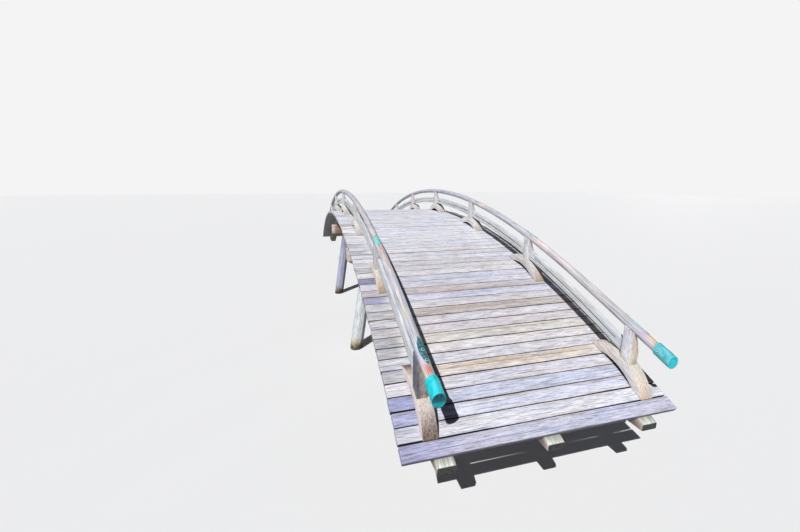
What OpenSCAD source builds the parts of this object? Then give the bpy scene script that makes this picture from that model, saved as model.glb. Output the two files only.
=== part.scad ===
// Moon bridge: an arched timber footbridge with low rails, on two splayed timber bents.
// X runs across the bridge, Y along it, Z up. The feet stand on Z = 0 and the crest is over the origin.

/* [Arch] */
// Length of the deck from end to end, measured level
span = 8755; // [7500:5:10000]
// Height of the crest of the deck above its ends
rise = 1026; // [700:2:1250]
// Height of the deck's ends above the feet of the bents
end_height = 783; // [650:1:1000]

/* [Deck boards] */
// Length of a deck board, across the bridge
board_length = 2000; // [1900:5:2200]
// Width of a deck board, along the bridge
board_width = 99; // [80:1:125]
// Thickness of a deck board
board_thick = 38; // [30:1:50]
// Smallest open joint between two boards
board_joint = 4; // [2:0.5:8]
// How far the board ends wander in and out
board_stagger = 4; // [0:1:15]

/* [Girders] */
// Distance of the outer girders from the middle
girder_offset = 740; // [600:5:800]
// Width of a girder
girder_width = 120; // [80:1:150]
// Depth of a girder, square to the arch
girder_depth = 240; // [200:2:290]
// How far the girders stand out beyond the deck's ends
girder_nose = 25; // [10:1:60]
// Depth of the level seat at a girder's end, below the deck's end
seat_drop = 105; // [80:1:150]

/* [Bents] */
// Distance of each bent from the middle of the bridge
bent_offset = 1320; // [1100:10:1700]
// How far a cross beam stands out beyond the middle of a post's head
beam_overhang = 296; // [200:2:320]
// Width of a cross beam, along the bridge
beam_width = 160; // [130:1:200]
// Height of a cross beam
beam_height = 165; // [130:1:200]
// Width of a bent's eight-sided post, across its flats
pile_width = 164; // [130:1:190]
// Distance of a post's foot from the middle, across the bridge
foot_offset = 855; // [800:5:950]
// Lean of the posts, out towards their feet
lean = 9.1; // [5:0.1:11]

/* [Top rails] */
// Distance of the rails' middle from the middle of the deck
rail_offset = 810; // [760:1:860]
// Height of the top rail's middle above the deck, square to the arch
rail_height = 344; // [300:1:450]
// Diameter of the top rail
rail_diameter = 68; // [56:1:80]
// Distance along the deck from its end to where a rail stops curving and runs on straight
rail_straight = 980; // [600:10:1300]
// How far the plumb end faces of the rail caps lie beyond the deck's ends
cap_reach = 45; // [0:1:80]
// Length of a rail cap between its two plumb faces, measured level
cap_length = 116; // [80:1:170]
// Wall of a rail cap
cap_wall = 8.7; // [4:0.1:12]

/* [Posts and saddles] */
// Distance along the deck from its end to the first post
first_post = 355; // [320:1:420]
// Number of posts on each side
post_count = 7; // [5:2:9]
// Thickness of a post, along the bridge
post_thick = 84; // [70:1:110]
// Reach of a post's foot to its straight side
post_straight = 40; // [36:1:46]
// Reach of a post's foot to its tapered side
post_flare = 36; // [30:1:46]
// Height of the square part of the foot, before the taper starts
post_shoulder = 75; // [50:1:100]
// Width of a post where it would meet the level of the rail's middle
post_tip = 20; // [12:1:30]
// Length of a saddle, along the bridge
saddle_length = 555; // [460:5:600]
// Height of a saddle's back above the deck
saddle_height = 124; // [105:1:150]
// Width of a saddle, across the bridge
saddle_width = 100; // [80:1:120]
// Distance of the saddles' middle from the rails' middle, towards the right
saddle_shift = 9; // [-12:1:12]
// Height above the deck at which a post's plumb middle crosses the middle of its saddle
post_cross = 168; // [100:2:220]
// Length of the hollow under a saddle
hollow_length = 350; // [280:5:400]
// Height of the hollow under a saddle
hollow_height = 42; // [20:1:50]

/* [Middle rails] */
// Height of a middle rail's lower edge above the deck
board_rail_low = 136; // [100:1:160]
// Height of a middle rail, square to the arch
board_rail_height = 89; // [80:1:125]
// Thickness of a middle rail
board_rail_thick = 30; // [22:1:45]
// Open joint between a middle rail's shoulder and a post
shoulder_gap = 6; // [2:0.5:12]
// Height of the long slot in a middle rail
slot_height = 11; // [6:0.5:16]
// Solid wood left at each end of the slot
slot_margin = 76; // [50:1:120]
// Height of the tenons that carry a middle rail
tenon_height = 45; // [30:1:60]
// Thickness of the tenons
tenon_thick = 14; // [10:1:20]
// Depth of the tenons in the posts
tenon_depth = 25; // [15:1:38]

/* [Copper plates] */
// Length of a plate, along the rail
plate_length = 230; // [180:1:280]
// Width of a plate's outline
plate_width = 52; // [40:1:60]
// Thickness of a plate
plate_thick = 2; // [1.2:0.1:3]
// Turn of the left rail's plates from the top of the rail
left_plate_turn = -3; // [-45:1:45]
// Turn of the right rail's plates from the top of the rail
right_plate_turn = 30; // [-45:1:45]

/* [Fits] */
// Clearance between timbers that bear on each other
seat_gap = 0.2; // [0.1:0.05:0.4]
// Clearance round a tenon, a cap or a plate
fit_gap = 0.3; // [0.2:0.05:0.5]

/* [Hidden] */
arch_fn = 1080;
arch_steps = 36;
curve_fn = 180;
round_fn = 64;
arch_radius = (span * span / 4 + rise * rise) / (2 * rise);
half_angle = asin(span / 2 / arch_radius);
centre_z = end_height + rise - arch_radius;
arc_length = arch_radius * half_angle * PI / 90;
reach = board_length;

board_count = floor(arc_length / (board_width + board_joint));
board_pitch = 2 * half_angle / board_count;
group_count = 8;
group_size = ceil(board_count / group_count);

girder_top = arch_radius - board_thick;
girder_bottom = girder_top - girder_depth;
girder_end = span / 2 + girder_nose;
seat_z = end_height - seat_drop;
beam_top = centre_z + sqrt(pow(girder_bottom, 2) - pow(bent_offset - beam_width / 2, 2));
beam_bottom = beam_top - beam_height;
beam_length = 2 * (foot_offset - beam_bottom * tan(lean) + beam_overhang);

rail_radius = arch_radius + rail_height;
rail_r = rail_diameter / 2;
bend_angle = half_angle - rail_straight / arch_radius * 180 / PI;
bend_y = rail_radius * sin(bend_angle);
bend_z = centre_z + rail_radius * cos(bend_angle);
cap_tip = span / 2 + cap_reach;
straight_run = (cap_tip - bend_y) / cos(bend_angle);
plate_span = 0.56 * plate_length / rail_radius * 180 / PI;

post_angle = half_angle - first_post / arch_radius * 180 / PI;
post_step = 2 * post_angle / (post_count - 1);
post_back = arch_radius + saddle_height;
saddle_r = (pow(saddle_length / 2, 2) + pow(saddle_height, 2)) / (2 * saddle_height);
hollow_r = (pow(hollow_length / 2, 2) + pow(hollow_height, 2)) / (2 * hollow_height);
slot_radius = arch_radius + board_rail_low + board_rail_height / 2;

board_grey = "#bcb6b3";
rail_grey = "#c4bebb";
saddle_tan = "#c2b3a2";
timber_brown = "#8d8278";
copper_green = "#2fb5ae";

function post_at(i) = -post_angle + i * post_step;
function post_y(i) = post_back * sin(post_at(i));
function saddle_at(i) = asin(post_y(i) / (arch_radius + post_cross));
function wander(i) = board_stagger * sin(137.5 * i);
function on_straight(y) = abs(y) > bend_y;
function rail_tilt(y) = on_straight(y) ? sign(y) * bend_angle : asin(y / rail_radius);
function rail_z(y) = on_straight(y)
    ? bend_z - (abs(y) - bend_y) * tan(bend_angle)
    : centre_z + sqrt(pow(rail_radius, 2) - pow(y, 2));

// Places its children on the arch: Z points away from the arch's centre, Y along it
module on_arch(angle) {
    translate([0, 0, centre_z]) rotate([-angle, 0, 0]) children();
}

// Facets for a sweep across the crest: an even number of them, so that two meet at the crest
function even_fn(angle) = floor(arch_steps * 360 / angle);

// Sweeps a flat shape (X outward, Y across) along the arch from one angle to another
module sweep(from, to, fn = arch_fn) {
    translate([0, 0, centre_z])
        rotate([0, 90, 0])
            rotate([0, 0, 180 - to])
                rotate_extrude(angle = to - from, $fn = fn) children();
}

// Turns a side view (X along the bridge, Y up) into a slab of a given width about X = 0
module side_slab(width) {
    translate([-width / 2, 0, 0]) rotate([90, 0, 90]) linear_extrude(width) children();
}

module board(i) {
    low = board_length / 2 + wander(i);
    high = board_length / 2 + wander(board_count - 1 - i);
    on_arch(-half_angle + (i + 0.5) * board_pitch)
        translate([-low, -board_width / 2, arch_radius - board_thick])
            cube([low + high, board_width, board_thick]);
}

module deck_boards(group) {
    color(board_grey)
        for (i = [group * group_size : min(board_count, (group + 1) * group_size) - 1])
            board(i);
}

module girder(x) {
    end = half_angle + 2;
    color(timber_brown)
        translate([x, 0, 0])
            difference() {
                intersection() {
                    sweep(-end, end, even_fn(2 * end))
                        translate([girder_bottom, -girder_width / 2])
                            square([girder_depth - seat_gap, girder_width]);
                    translate([-girder_width, -girder_end, seat_z])
                        cube([2 * girder_width, 2 * girder_end, rise + end_height]);
                }
                for (side = [-1, 1])
                    translate([-girder_width, side * bent_offset - beam_width / 2 - fit_gap, seat_z])
                        cube([2 * girder_width, beam_width + 2 * fit_gap, beam_top - seat_z]);
            }
}

module cross_beam(y) {
    color(timber_brown)
        translate([-beam_length / 2, y - beam_width / 2, beam_bottom])
            cube([beam_length, beam_width, beam_height]);
}

module pile(side, y) {
    corner = pile_width / cos(22.5);
    color(timber_brown)
        intersection() {
            translate([side * foot_offset, y, 0])
                rotate([0, -side * lean, 0])
                    rotate([0, 0, 22.5])
                        translate([0, 0, -pile_width])
                            cylinder(h = beam_bottom + 2 * pile_width, d = corner, $fn = 8);
            translate([-reach, y - reach / 2, 0])
                cube([2 * reach, reach, beam_bottom]);
        }
}

// Puts its children, drawn for the far end, at either end of the bridge
module at_end(y) {
    mirror([0, y < 0 ? 1 : 0, 0]) children();
}

// Places its children where the far end of a rail starts to run straight: Z points outward along the rail
module at_bend() {
    translate([0, bend_y, bend_z]) rotate([-90 - bend_angle, 0, 0]) children();
}

// Places its children in the middle of a rail: Z points square out of it, Y along it
module at_rail(y) {
    translate([0, y, rail_z(y)]) rotate([-rail_tilt(y), 0, 0]) children();
}

// A box that keeps what lies between two places along the bridge
module between(from, to) {
    translate([-reach / 2, from, 0]) cube([reach, to - from, 3 * (rise + end_height)]);
}

// A round bar along the straight far end of a rail, cut plumb at its tip
module end_bar(r, from, tip) {
    intersection() {
        at_bend()
            translate([0, 0, from])
                cylinder(h = straight_run + rail_diameter - from, r = r, $fn = round_fn);
        between(0, tip);
    }
}

// The far length of a rail: curved up to its bend, then straight, where it is planed a hair thinner
module end_length(from) {
    sweep(from, bend_angle) translate([rail_radius, 0]) circle(r = rail_r, $fn = round_fn);
    end_bar(rail_r - seat_gap, -rail_r, cap_tip - cap_wall - fit_gap);
}

// A top rail, in lengths that meet over every post but the first and the last
module top_rail(side) {
    heads = [for (i = [1 : post_count - 2]) rail_tilt(post_y(i))];
    gap = seat_gap / 2 / rail_radius * 180 / PI;
    last = heads[len(heads) - 1];
    color(rail_grey)
        translate([side * rail_offset, 0, 0]) {
            for (i = [0 : len(heads) - 2])
                sweep(heads[i] + gap, heads[i + 1] - gap)
                    translate([rail_radius, 0]) circle(r = rail_r, $fn = round_fn);
            for (end = [-1, 1])
                at_end(end) end_length(last + gap);
        }
}

// A cap over the tip of a rail, plumb at both ends like the rail's own cut
module rail_cap(side, end) {
    color(copper_green)
        translate([side * rail_offset, 0, 0])
            at_end(end)
                difference() {
                    intersection() {
                        end_bar(rail_r + fit_gap + cap_wall, 0, cap_tip);
                        between(cap_tip - cap_length, cap_tip);
                    }
                    end_bar(rail_r + fit_gap, 0, cap_tip - cap_wall);
                }
}

module saddle(i) {
    on_arch(saddle_at(i))
        translate([0, 0, arch_radius])
            side_slab(saddle_width)
                difference() {
                    intersection() {
                        translate([0, saddle_height - saddle_r]) circle(r = saddle_r, $fn = curve_fn);
                        translate([-saddle_length, -saddle_height])
                            square([2 * saddle_length, 3 * saddle_height]);
                    }
                    translate([0, -arch_radius]) circle(r = arch_radius + seat_gap, $fn = arch_fn);
                    translate([0, hollow_height - hollow_r]) circle(r = hollow_r, $fn = curve_fn);
                }
}

module saddles(side) {
    color(saddle_tan)
        translate([side * rail_offset + saddle_shift, 0, 0])
            for (i = [0 : post_count - 1]) saddle(i);
}

// A middle rail's section: X outward along the arch's radius, Y across the bridge
module rail_section(height, thick) {
    translate([slot_radius - height / 2, -thick / 2]) square([height, thick]);
}

module middle_rail(i) {
    from = post_y(i) + post_thick / 2 + shoulder_gap;
    to = post_y(i + 1) - post_thick / 2 - shoulder_gap;
    hold = shoulder_gap + tenon_depth;
    low = arch_radius + board_rail_low;
    high = low + board_rail_height;
    difference() {
        union() {
            intersection() {
                sweep(min(asin(from / low), asin(from / high)), max(asin(to / low), asin(to / high)))
                    rail_section(board_rail_height, board_rail_thick);
                between(from, to);
            }
            intersection() {
                sweep(post_at(i) - 1, post_at(i + 1) + 1) rail_section(tenon_height, tenon_thick);
                between(from - hold, to + hold);
            }
        }
        intersection() {
            sweep(post_at(i), post_at(i + 1)) rail_section(slot_height, 2 * board_rail_thick);
            between(from + slot_margin, to - slot_margin);
        }
    }
}

module middle_rails(side) {
    color(rail_grey)
        translate([side * rail_offset, 0, 0])
            for (i = [0 : post_count - 2]) middle_rail(i);
}

// The pockets in a post that take the tenons of the middle rails on either side of it
module pockets(i) {
    depth = tenon_depth + fit_gap;
    intersection() {
        sweep(post_at(i) - 2, post_at(i) + 2)
            rail_section(tenon_height + 2 * fit_gap, tenon_thick + 2 * fit_gap);
        union() {
            if (i > 0) between(post_y(i) - post_thick, post_y(i) - post_thick / 2 + depth);
            if (i < post_count - 1) between(post_y(i) + post_thick / 2 - depth, post_y(i) + post_thick);
        }
    }
}

// The stretch of a round bar on a rail's middle that passes over a post
module bar_over(i, r) {
    middle = rail_tilt(post_y(i));
    if (on_straight(post_y(i)))
        at_end(post_y(i)) end_bar(r, 0, cap_tip);
    else
        sweep(middle - plate_span, middle + plate_span)
            translate([rail_radius, 0]) rotate(90) circle(r = r, $fn = round_fn);
}

// A plumb post: its front view is square at the foot and tapers on one side to a narrow tip
module post(i) {
    foot_z = centre_z + post_back * cos(post_at(i));
    tip_z = rail_z(post_y(i));
    difference() {
        translate([0, post_y(i) + post_thick / 2, 0])
            rotate([90, 0, 0])
                linear_extrude(post_thick)
                    polygon([
                        [-post_straight, foot_z - saddle_height],
                        [-post_straight, tip_z + rail_diameter],
                        [post_tip - post_straight, tip_z + rail_diameter],
                        [post_tip - post_straight, tip_z],
                        [post_flare, foot_z + post_shoulder],
                        [post_flare, foot_z - saddle_height]
                    ]);
        at_rail(post_y(i))
            translate([-post_thick, -2 * post_thick, -rail_r / 3])
                cube([2 * post_thick, 4 * post_thick, 4 * rail_diameter]);
        bar_over(i, rail_r + seat_gap);
        on_arch(saddle_at(i))
            translate([0, 0, arch_radius + saddle_height - saddle_r])
                rotate([0, 90, 0])
                    cylinder(h = 2 * saddle_width, r = saddle_r + seat_gap, center = true, $fn = curve_fn);
        pockets(i);
    }
}

module posts(side) {
    color(rail_grey)
        translate([side * rail_offset, 0, 0])
            for (i = [0 : post_count - 1]) post(i);
}

// A copper plate bent round the rail over the head of a post, pointed at both ends
module plate(i, turn) {
    point_r = (pow(plate_length / 2, 2) + pow(plate_width / 2, 2)) / plate_width;
    intersection() {
        difference() {
            bar_over(i, rail_r + fit_gap + plate_thick);
            bar_over(i, rail_r + fit_gap);
        }
        at_rail(post_y(i))
            rotate([0, turn, 0])
                linear_extrude(rail_diameter)
                    intersection() {
                        translate([point_r - plate_width / 2, 0]) circle(r = point_r, $fn = curve_fn);
                        translate([plate_width / 2 - point_r, 0]) circle(r = point_r, $fn = curve_fn);
                    }
    }
}

module plates(side, turn) {
    color(copper_green)
        translate([side * rail_offset, 0, 0])
            for (i = [0, 1, post_count - 2, post_count - 1]) plate(i, turn);
}

deck_boards(0);  // deck_boards_1
deck_boards(1);  // deck_boards_2
deck_boards(2);  // deck_boards_3
deck_boards(3);  // deck_boards_4
deck_boards(4);  // deck_boards_5
deck_boards(5);  // deck_boards_6
deck_boards(6);  // deck_boards_7
deck_boards(7);  // deck_boards_8
girder(-girder_offset);  // left_girder
girder(0);  // middle_girder
girder(girder_offset);  // right_girder
cross_beam(-bent_offset);  // near_cross_beam
cross_beam(bent_offset);  // far_cross_beam
pile(-1, -bent_offset);  // near_left_pile
pile(1, -bent_offset);  // near_right_pile
pile(-1, bent_offset);  // far_left_pile
pile(1, bent_offset);  // far_right_pile
top_rail(-1);  // left_top_rail
top_rail(1);  // right_top_rail
rail_cap(-1, -1);  // near_left_cap
rail_cap(1, -1);  // near_right_cap
rail_cap(-1, 1);  // far_left_cap
rail_cap(1, 1);  // far_right_cap
posts(-1);  // left_posts
posts(1);  // right_posts
saddles(-1);  // left_saddles
saddles(1);  // right_saddles
middle_rails(-1);  // left_middle_rails
middle_rails(1);  // right_middle_rails
plates(-1, left_plate_turn);  // left_plates
plates(1, right_plate_turn);  // right_plates
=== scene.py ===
from math import asin, copysign, cos, pi, radians, sin, sqrt, tan

import bmesh
import bpy
import numpy as np
from mathutils import Euler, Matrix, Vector


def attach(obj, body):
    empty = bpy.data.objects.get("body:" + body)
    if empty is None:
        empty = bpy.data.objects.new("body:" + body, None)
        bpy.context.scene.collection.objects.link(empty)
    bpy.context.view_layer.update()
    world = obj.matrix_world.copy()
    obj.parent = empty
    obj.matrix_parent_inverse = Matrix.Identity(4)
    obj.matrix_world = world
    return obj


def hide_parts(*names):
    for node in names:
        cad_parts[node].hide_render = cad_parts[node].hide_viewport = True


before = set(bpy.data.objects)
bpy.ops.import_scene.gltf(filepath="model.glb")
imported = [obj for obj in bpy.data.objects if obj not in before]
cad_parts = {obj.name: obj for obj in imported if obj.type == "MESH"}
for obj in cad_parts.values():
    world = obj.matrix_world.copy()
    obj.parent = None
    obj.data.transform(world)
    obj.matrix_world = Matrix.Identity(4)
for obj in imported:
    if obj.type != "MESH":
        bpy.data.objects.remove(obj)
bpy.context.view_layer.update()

# Moon bridge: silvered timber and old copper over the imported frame.
# Metres. X runs across the bridge, Y along it from the near end to the far end, Z up.
print("frame loaded:", len(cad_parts), "nodes")

arch = {
    "span": 8.755,
    "rise": 1.026,
    "endHeight": 0.783,  # of the deck's ends above the feet
}
archRadius = (arch["span"] ** 2 / 4 + arch["rise"] ** 2) / (2 * arch["rise"])
halfAngle = asin(arch["span"] / 2 / archRadius)
centreZ = arch["endHeight"] + arch["rise"] - archRadius
sides = ((-1, "left"), (1, "right"))


def linear(code):
    # sRGB hex to linear colour
    parts = [int(code[i:i + 2], 16) / 255 for i in (1, 3, 5)]
    return tuple(p / 12.92 if p <= 0.04045 else ((p + 0.055) / 1.055) ** 2.4 for p in parts) + (1.0,)


def tone(code):
    # the same colour as an array of three, to mix on a mesh
    return np.array(linear(code)[:3])


def mixed(first, second, share):
    # two colours mixed point by point; share is how much there is of the second
    share = share[..., None]
    return first * (1 - share) + second * share


def unit(value):
    return np.clip(value, 0, 1)


def triple(*rows):
    # three values for each point, from arrays or plain numbers
    return np.stack(np.broadcast_arrays(*rows), -1)


def grainAt(dice, *rows, spread=40):
    # where each point lies in the figure: along the grain, across it and into it, moved so that no two match
    return triple(*rows) + dice.uniform(0, spread, 3)


def wobble(t, seed, wave, size):
    # a smooth wander of about +-size along t, in waves about this long
    dice = np.random.default_rng(abs(seed))
    total = 0.0
    for k in (1.0, 2.3, 4.7):
        total = total + np.sin(2 * pi * np.asarray(t) * k / wave + dice.uniform(0, 2 * pi)) / k
    return size * total / 1.6


def gape(t, start, end):
    # how open a drying check is along its length: 0 at its ends, 1 in its middle
    return np.sqrt(unit(1 - ((t - (start + end) / 2) / max((end - start) / 2, 1e-6)) ** 2))


def onArch(angle, x, y, z):
    # a point beside the arch at this angle: y along the tangent, z outward from the arch's centre
    c, s = np.cos(angle), np.sin(angle)
    return triple(x, y * c + z * s, centreZ - y * s + z * c)


# Meshes are gathered as lofts: closed rings of points along a length of timber or metal

def addPoints(heap, points, **values):
    # grain, tint and mark hold one row for all the points, or a row for each
    points = np.asarray(points, float).reshape(-1, 3)
    heap["points"].append(points)
    for key, value in values.items():
        value = np.asarray(value, float)
        heap[key].append(np.broadcast_to(value, (len(points), 3)) if value.ndim == 1 else value.reshape(-1, 3))
    start = heap["count"]
    heap["count"] += len(points)
    return start


def addLoft(heap, rings, grain, tint, mark=(0, 0, 0), endMark=(0, 0, 1)):
    # rings: stations x points x 3. mark: dark (real darks and painted shade), stained, end grain, each from 0 to 1
    stations, points = rings.shape[:2]
    start = addPoints(heap, rings, grain=grain, tint=tint, mark=mark)
    index = start + np.arange(stations * points).reshape(stations, points)
    after = np.roll(index, -1, axis=1)
    heap["faces"] += np.stack([index[:-1], after[:-1], after[1:], index[1:]], -1).reshape(-1, 4).tolist()
    for row in (0, -1):
        endTint = tint if tint.ndim == 1 else tint[row]
        first = addPoints(heap, rings[row], grain=grain[row], tint=endTint, mark=endMark)
        face = list(range(first, first + points))
        heap["faces"].append(face[::-1] if row == 0 else face)


def sectionRing(low, high, bottom, top, arris, ease=0.3):
    # a rectangle with eased arrises: how far across and how high its sixteen points lie.
    # Three lie on each face and one on each arris; sizes may vary along the stations.
    low, high, bottom, top, arris = np.broadcast_arrays(low, high, bottom, top, arris)
    far, near = arris, arris * ease

    def walk(a, b):
        middle = (a + b) / 2
        return np.stack([a + far, middle, b - far, b - near, b, b, b, b - near,
                         b - far, middle, a + far, a + near, a, a, a, a + near], -1)

    return walk(low, high), np.roll(walk(bottom, top), 4, -1)


def faceTints(stations, *codes):
    # colours for such a ring: its four faces in turn, each with the arris after it
    return np.tile(np.repeat([tone(code) for code in codes], 4, axis=0), (stations, 1, 1))


def addObject(name, data):
    item = bpy.data.objects.new(name, data)
    bpy.context.scene.collection.objects.link(item)
    return item


def addPiece(node, material, addPart, rows):
    # one piece in place of a node and named like it, from as many parts as there are rows
    first, *rest = node.split("_")
    name = first + "".join(word.title() for word in rest)
    heap = {"points": [], "grain": [], "tint": [], "mark": [], "faces": [], "count": 0}
    for row in rows:
        addPart(heap, *row)
    mesh = bpy.data.meshes.new(name)
    mesh.from_pydata(np.concatenate(heap["points"]).tolist(), [], heap["faces"])
    for key, kind, field in (("grain", "FLOAT_VECTOR", "vector"), ("tint", "FLOAT_COLOR", "color"),
                             ("mark", "FLOAT_COLOR", "color")):
        values = np.concatenate(heap[key])
        if field == "color":
            values = np.hstack([values, np.ones((len(values), 1))])
        mesh.attributes.new(key, kind, "POINT").data.foreach_set(field, values.astype(np.float32).ravel())
    shape = bmesh.new()
    shape.from_mesh(mesh)
    bmesh.ops.recalc_face_normals(shape, faces=shape.faces)
    shape.to_mesh(mesh)
    shape.free()
    mesh.shade_smooth()
    mesh.set_sharp_from_angle(angle=radians(38))  # sharper bends than this shade as edges
    mesh.materials.append(material)
    piece = addObject(name, mesh)
    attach(piece, "root")
    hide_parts(node)


# Materials

def addNode(tree, kind, settings=None, links=None):
    # settings name a property of the node, or a socket by its name or number; links name sockets
    node = tree.nodes.new("ShaderNode" + kind)
    for key, value in (settings or {}).items():
        if isinstance(key, str) and hasattr(node, key):
            setattr(node, key, value)
        else:
            node.inputs[key].default_value = value
    for key, source in (links or {}).items():
        if hasattr(source, "outputs"):  # a node stands for its first socket in use
            source = next(socket for socket in source.outputs if socket.enabled)
        tree.links.new(source, node.inputs[key])
    return node


def setRamp(node, stops):
    # stops: (position, hex colour), from low to high
    elements = node.color_ramp.elements
    while len(elements) < len(stops):
        elements.new(0.5)
    for element, (position, code) in zip(elements, stops):
        element.position = position
        element.color = linear(code)
    return node


def freshTree(owner):
    owner.use_nodes = True
    owner.node_tree.nodes.clear()
    return owner.node_tree


def startMaterial(name):
    # a material that reads the grain, tint and marks of its mesh
    material = bpy.data.materials.new(name)
    tree = freshTree(material)
    grain, tint, marks = [addNode(tree, "Attribute", {"attribute_name": key}) for key in ("grain", "tint", "mark")]
    return material, tree, grain.outputs["Vector"], tint, addNode(tree, "SeparateColor", links={0: marks}).outputs


multiply = {"data_type": "RGBA", "blend_type": "MULTIPLY"}


def timberMaterial(name, look):
    # Silvered softwood, sawn or planed and long out in the weather: matt, grey with a lilac cast, the soft
    # spring wood worn back between hard growth rings, so that it reads as broken streaks with fine drying checks.
    material, tree, grain, tint, mark = startMaterial(name)

    # knots bend the grain round them
    size = look["knotSize"] / look["knotGap"]
    place = addNode(tree, "VectorMath", {"operation": "MULTIPLY", 1: (1.0, 1.0, 0.3)}, {0: grain})
    cells = addNode(tree, "TexVoronoi", {"Scale": 1000 / look["knotGap"]}, {"Vector": place})
    pick = addNode(tree, "SeparateColor", links={0: cells.outputs["Color"]})
    few = addNode(tree, "Math", {"operation": "GREATER_THAN", 1: 1 - look["knotShare"]}, {0: pick})
    knots = []
    for reach in ({"From Max": 2.2 * size, "interpolation_type": "SMOOTHSTEP"},
                  {"From Min": 0.175 * size, "From Max": 0.56 * size}):
        near = addNode(tree, "MapRange", {"To Min": 1.0, "To Max": 0.0, **reach}, {0: cells})
        knots.append(addNode(tree, "Math", {"operation": "MULTIPLY"}, {0: near, 1: few}))
    slow = addNode(tree, "VectorMath", {"operation": "MULTIPLY", 1: (1.7, 8.0, 8.0)}, {0: grain})
    drift = addNode(tree, "TexNoise", {"Scale": 1.0, "Detail": 2.0}, {"Vector": slow})
    pull = addNode(tree, "Math", {"operation": "MULTIPLY_ADD", 1: 0.9}, {0: knots[0], 2: drift})
    bent = addNode(tree, "VectorMath", {"operation": "MULTIPLY_ADD", 1: (0.0, 0.016, 0.016)}, {0: pull, 2: grain})

    # the fields, each as long and as wide as its figure in the wood, and what each does to the colour
    # the tints are mean colours: they are lifted first by as much as the figure then darkens them
    colour = addNode(tree, "VectorMath", {"operation": "MULTIPLY", 1: look["lift"]}, {0: tint})
    field = {}
    for key, (*sizes, detail) in look["figure"].items():
        scale = tuple(1000 / mm for mm in sizes)
        place = addNode(tree, "VectorMath", {"operation": "MULTIPLY", 1: scale}, {0: bent})
        field[key] = addNode(tree, "TexNoise", {"Scale": 1.0, "Detail": detail, "Roughness": 0.62}, {"Vector": place})
        if key in look:
            ramp = setRamp(addNode(tree, "ValToRGB", links={0: field[key]}), look[key])
            colour = addNode(tree, "Mix", {**multiply, 0: 1.0}, {6: colour, 7: ramp})
    ragged = {"From Min": 0.3, "From Max": 0.6, "To Min": 0.5, "To Max": 1.2}
    ragged = addNode(tree, "MapRange", ragged, {0: field["mottle"]})
    stained = addNode(tree, "Math", {"operation": "MULTIPLY", "use_clamp": True}, {0: ragged, 1: mark[1]})
    colour = addNode(tree, "Mix", {**multiply, 7: linear(look["stain"])}, {0: stained, 6: colour})

    # darks: drying checks, knots, the marks on the mesh (real darks and painted shade), and the rough pores of end
    # grain and rotten faces
    line = {"From Min": look["checkFrom"], "From Max": look["checkFrom"] + 0.05}
    line = addNode(tree, "MapRange", line, {0: field["check"]})
    some = addNode(tree, "MapRange", {"From Min": 0.42, "From Max": 0.58}, {0: field["patch"]})
    checks = addNode(tree, "Math", {"operation": "MULTIPLY"}, {0: line, 1: some})
    pore = {"Scale": 1000 / look["pore"], "Detail": 3.0, "Roughness": 0.7}
    pore = addNode(tree, "TexNoise", pore, {"Vector": grain})
    pitted = addNode(tree, "MapRange", {"From Min": 0.46, "From Max": 0.57}, {0: pore})
    rough = addNode(tree, "Math", {"operation": "MULTIPLY"}, {0: pitted, 1: mark[2]})
    dark = mark[0]
    for share, source in ((0.6, checks), (0.7, knots[1]), (0.62, rough)):
        dark = addNode(tree, "Math", {"operation": "MULTIPLY_ADD", 1: share, "use_clamp": True}, {0: source, 2: dark})
    colour = addNode(tree, "Mix", {"data_type": "RGBA", 7: linear(look["crack"])}, {0: dark, 6: colour})

    # relief: raised streaks and fibres, sunk checks and pores
    relief = field["streak"]
    for share, source in ((0.45, field["fibre"]), (-1.2, checks), (-0.8, rough)):
        relief = addNode(tree, "Math", {"operation": "MULTIPLY_ADD", 1: share}, {0: source, 2: relief})
    bump = addNode(tree, "Bump", {"Strength": 0.75, "Distance": look["relief"] / 1000}, {"Height": relief})
    finish = {"Roughness": look["roughness"], "IOR": 1.5, "Specular IOR Level": look["sheen"]}
    shader = addNode(tree, "BsdfPrincipled", finish, {"Base Color": colour, "Normal": bump})
    addNode(tree, "OutputMaterial", links={0: shader})
    return material


timberLook = {
    "figure": {  # mm along the grain, across it and into it, and the noise's detail; real fibres are finer
        "patch": (500, 45, 60, 3.0), "mottle": (130, 20, 20, 3.0), "streak": (120, 5, 9, 3.5),
        "fibre": (46, 2.4, 2.4, 2.5), "check": (400, 6, 12, 1.0),
    },
    "patch": ((0.38, "#f1ece9"), (0.5, "#fbf9f9"), (0.62, "#f0f1f7")),
    "mottle": ((0.36, "#e9e8e9"), (0.5, "#f8f8f8"), (0.6, "#ffffff")),
    "streak": ((0.38, "#c0bfc4"), (0.45, "#ebeaed"), (0.54, "#ffffff")),
    "fibre": ((0.36, "#d3d2d5"), (0.46, "#f3f2f3"), (0.56, "#ffffff")),
    "lift": (1.25, 1.31, 1.28),
    "checkFrom": 0.65,
    "knotGap": 240, "knotSize": 9, "knotShare": 0.36,  # mm apart, mm across, share that shows
    "pore": 14,  # mm
    "relief": 1.6,  # mm
    "roughness": 0.74,
    "sheen": 0.18,  # dry fibres hardly shine, so shaded wood stays dark
    "stain": "#d6b98a",
    # the colour of cracks and also of painted shade in joints, hollows and slots
    "crack": "#221f28",
}
railLook = {
    **timberLook,
    "figure": {
        "patch": (320, 50, 50, 3.0), "mottle": (150, 22, 22, 3.0), "streak": (260, 6, 8, 3.0),
        "fibre": (110, 2.4, 2.4, 2.0), "check": (500, 8, 12, 1.0),
    },
    "mottle": ((0.36, "#efeeef"), (0.5, "#f9f9f9"), (0.6, "#ffffff")),
    "streak": ((0.38, "#cac9ce"), (0.45, "#eeedf0"), (0.54, "#ffffff")),
    "checkFrom": 0.7,
    "knotShare": 0.16,
    "relief": 1.0,
    "roughness": 0.8,
}
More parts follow.
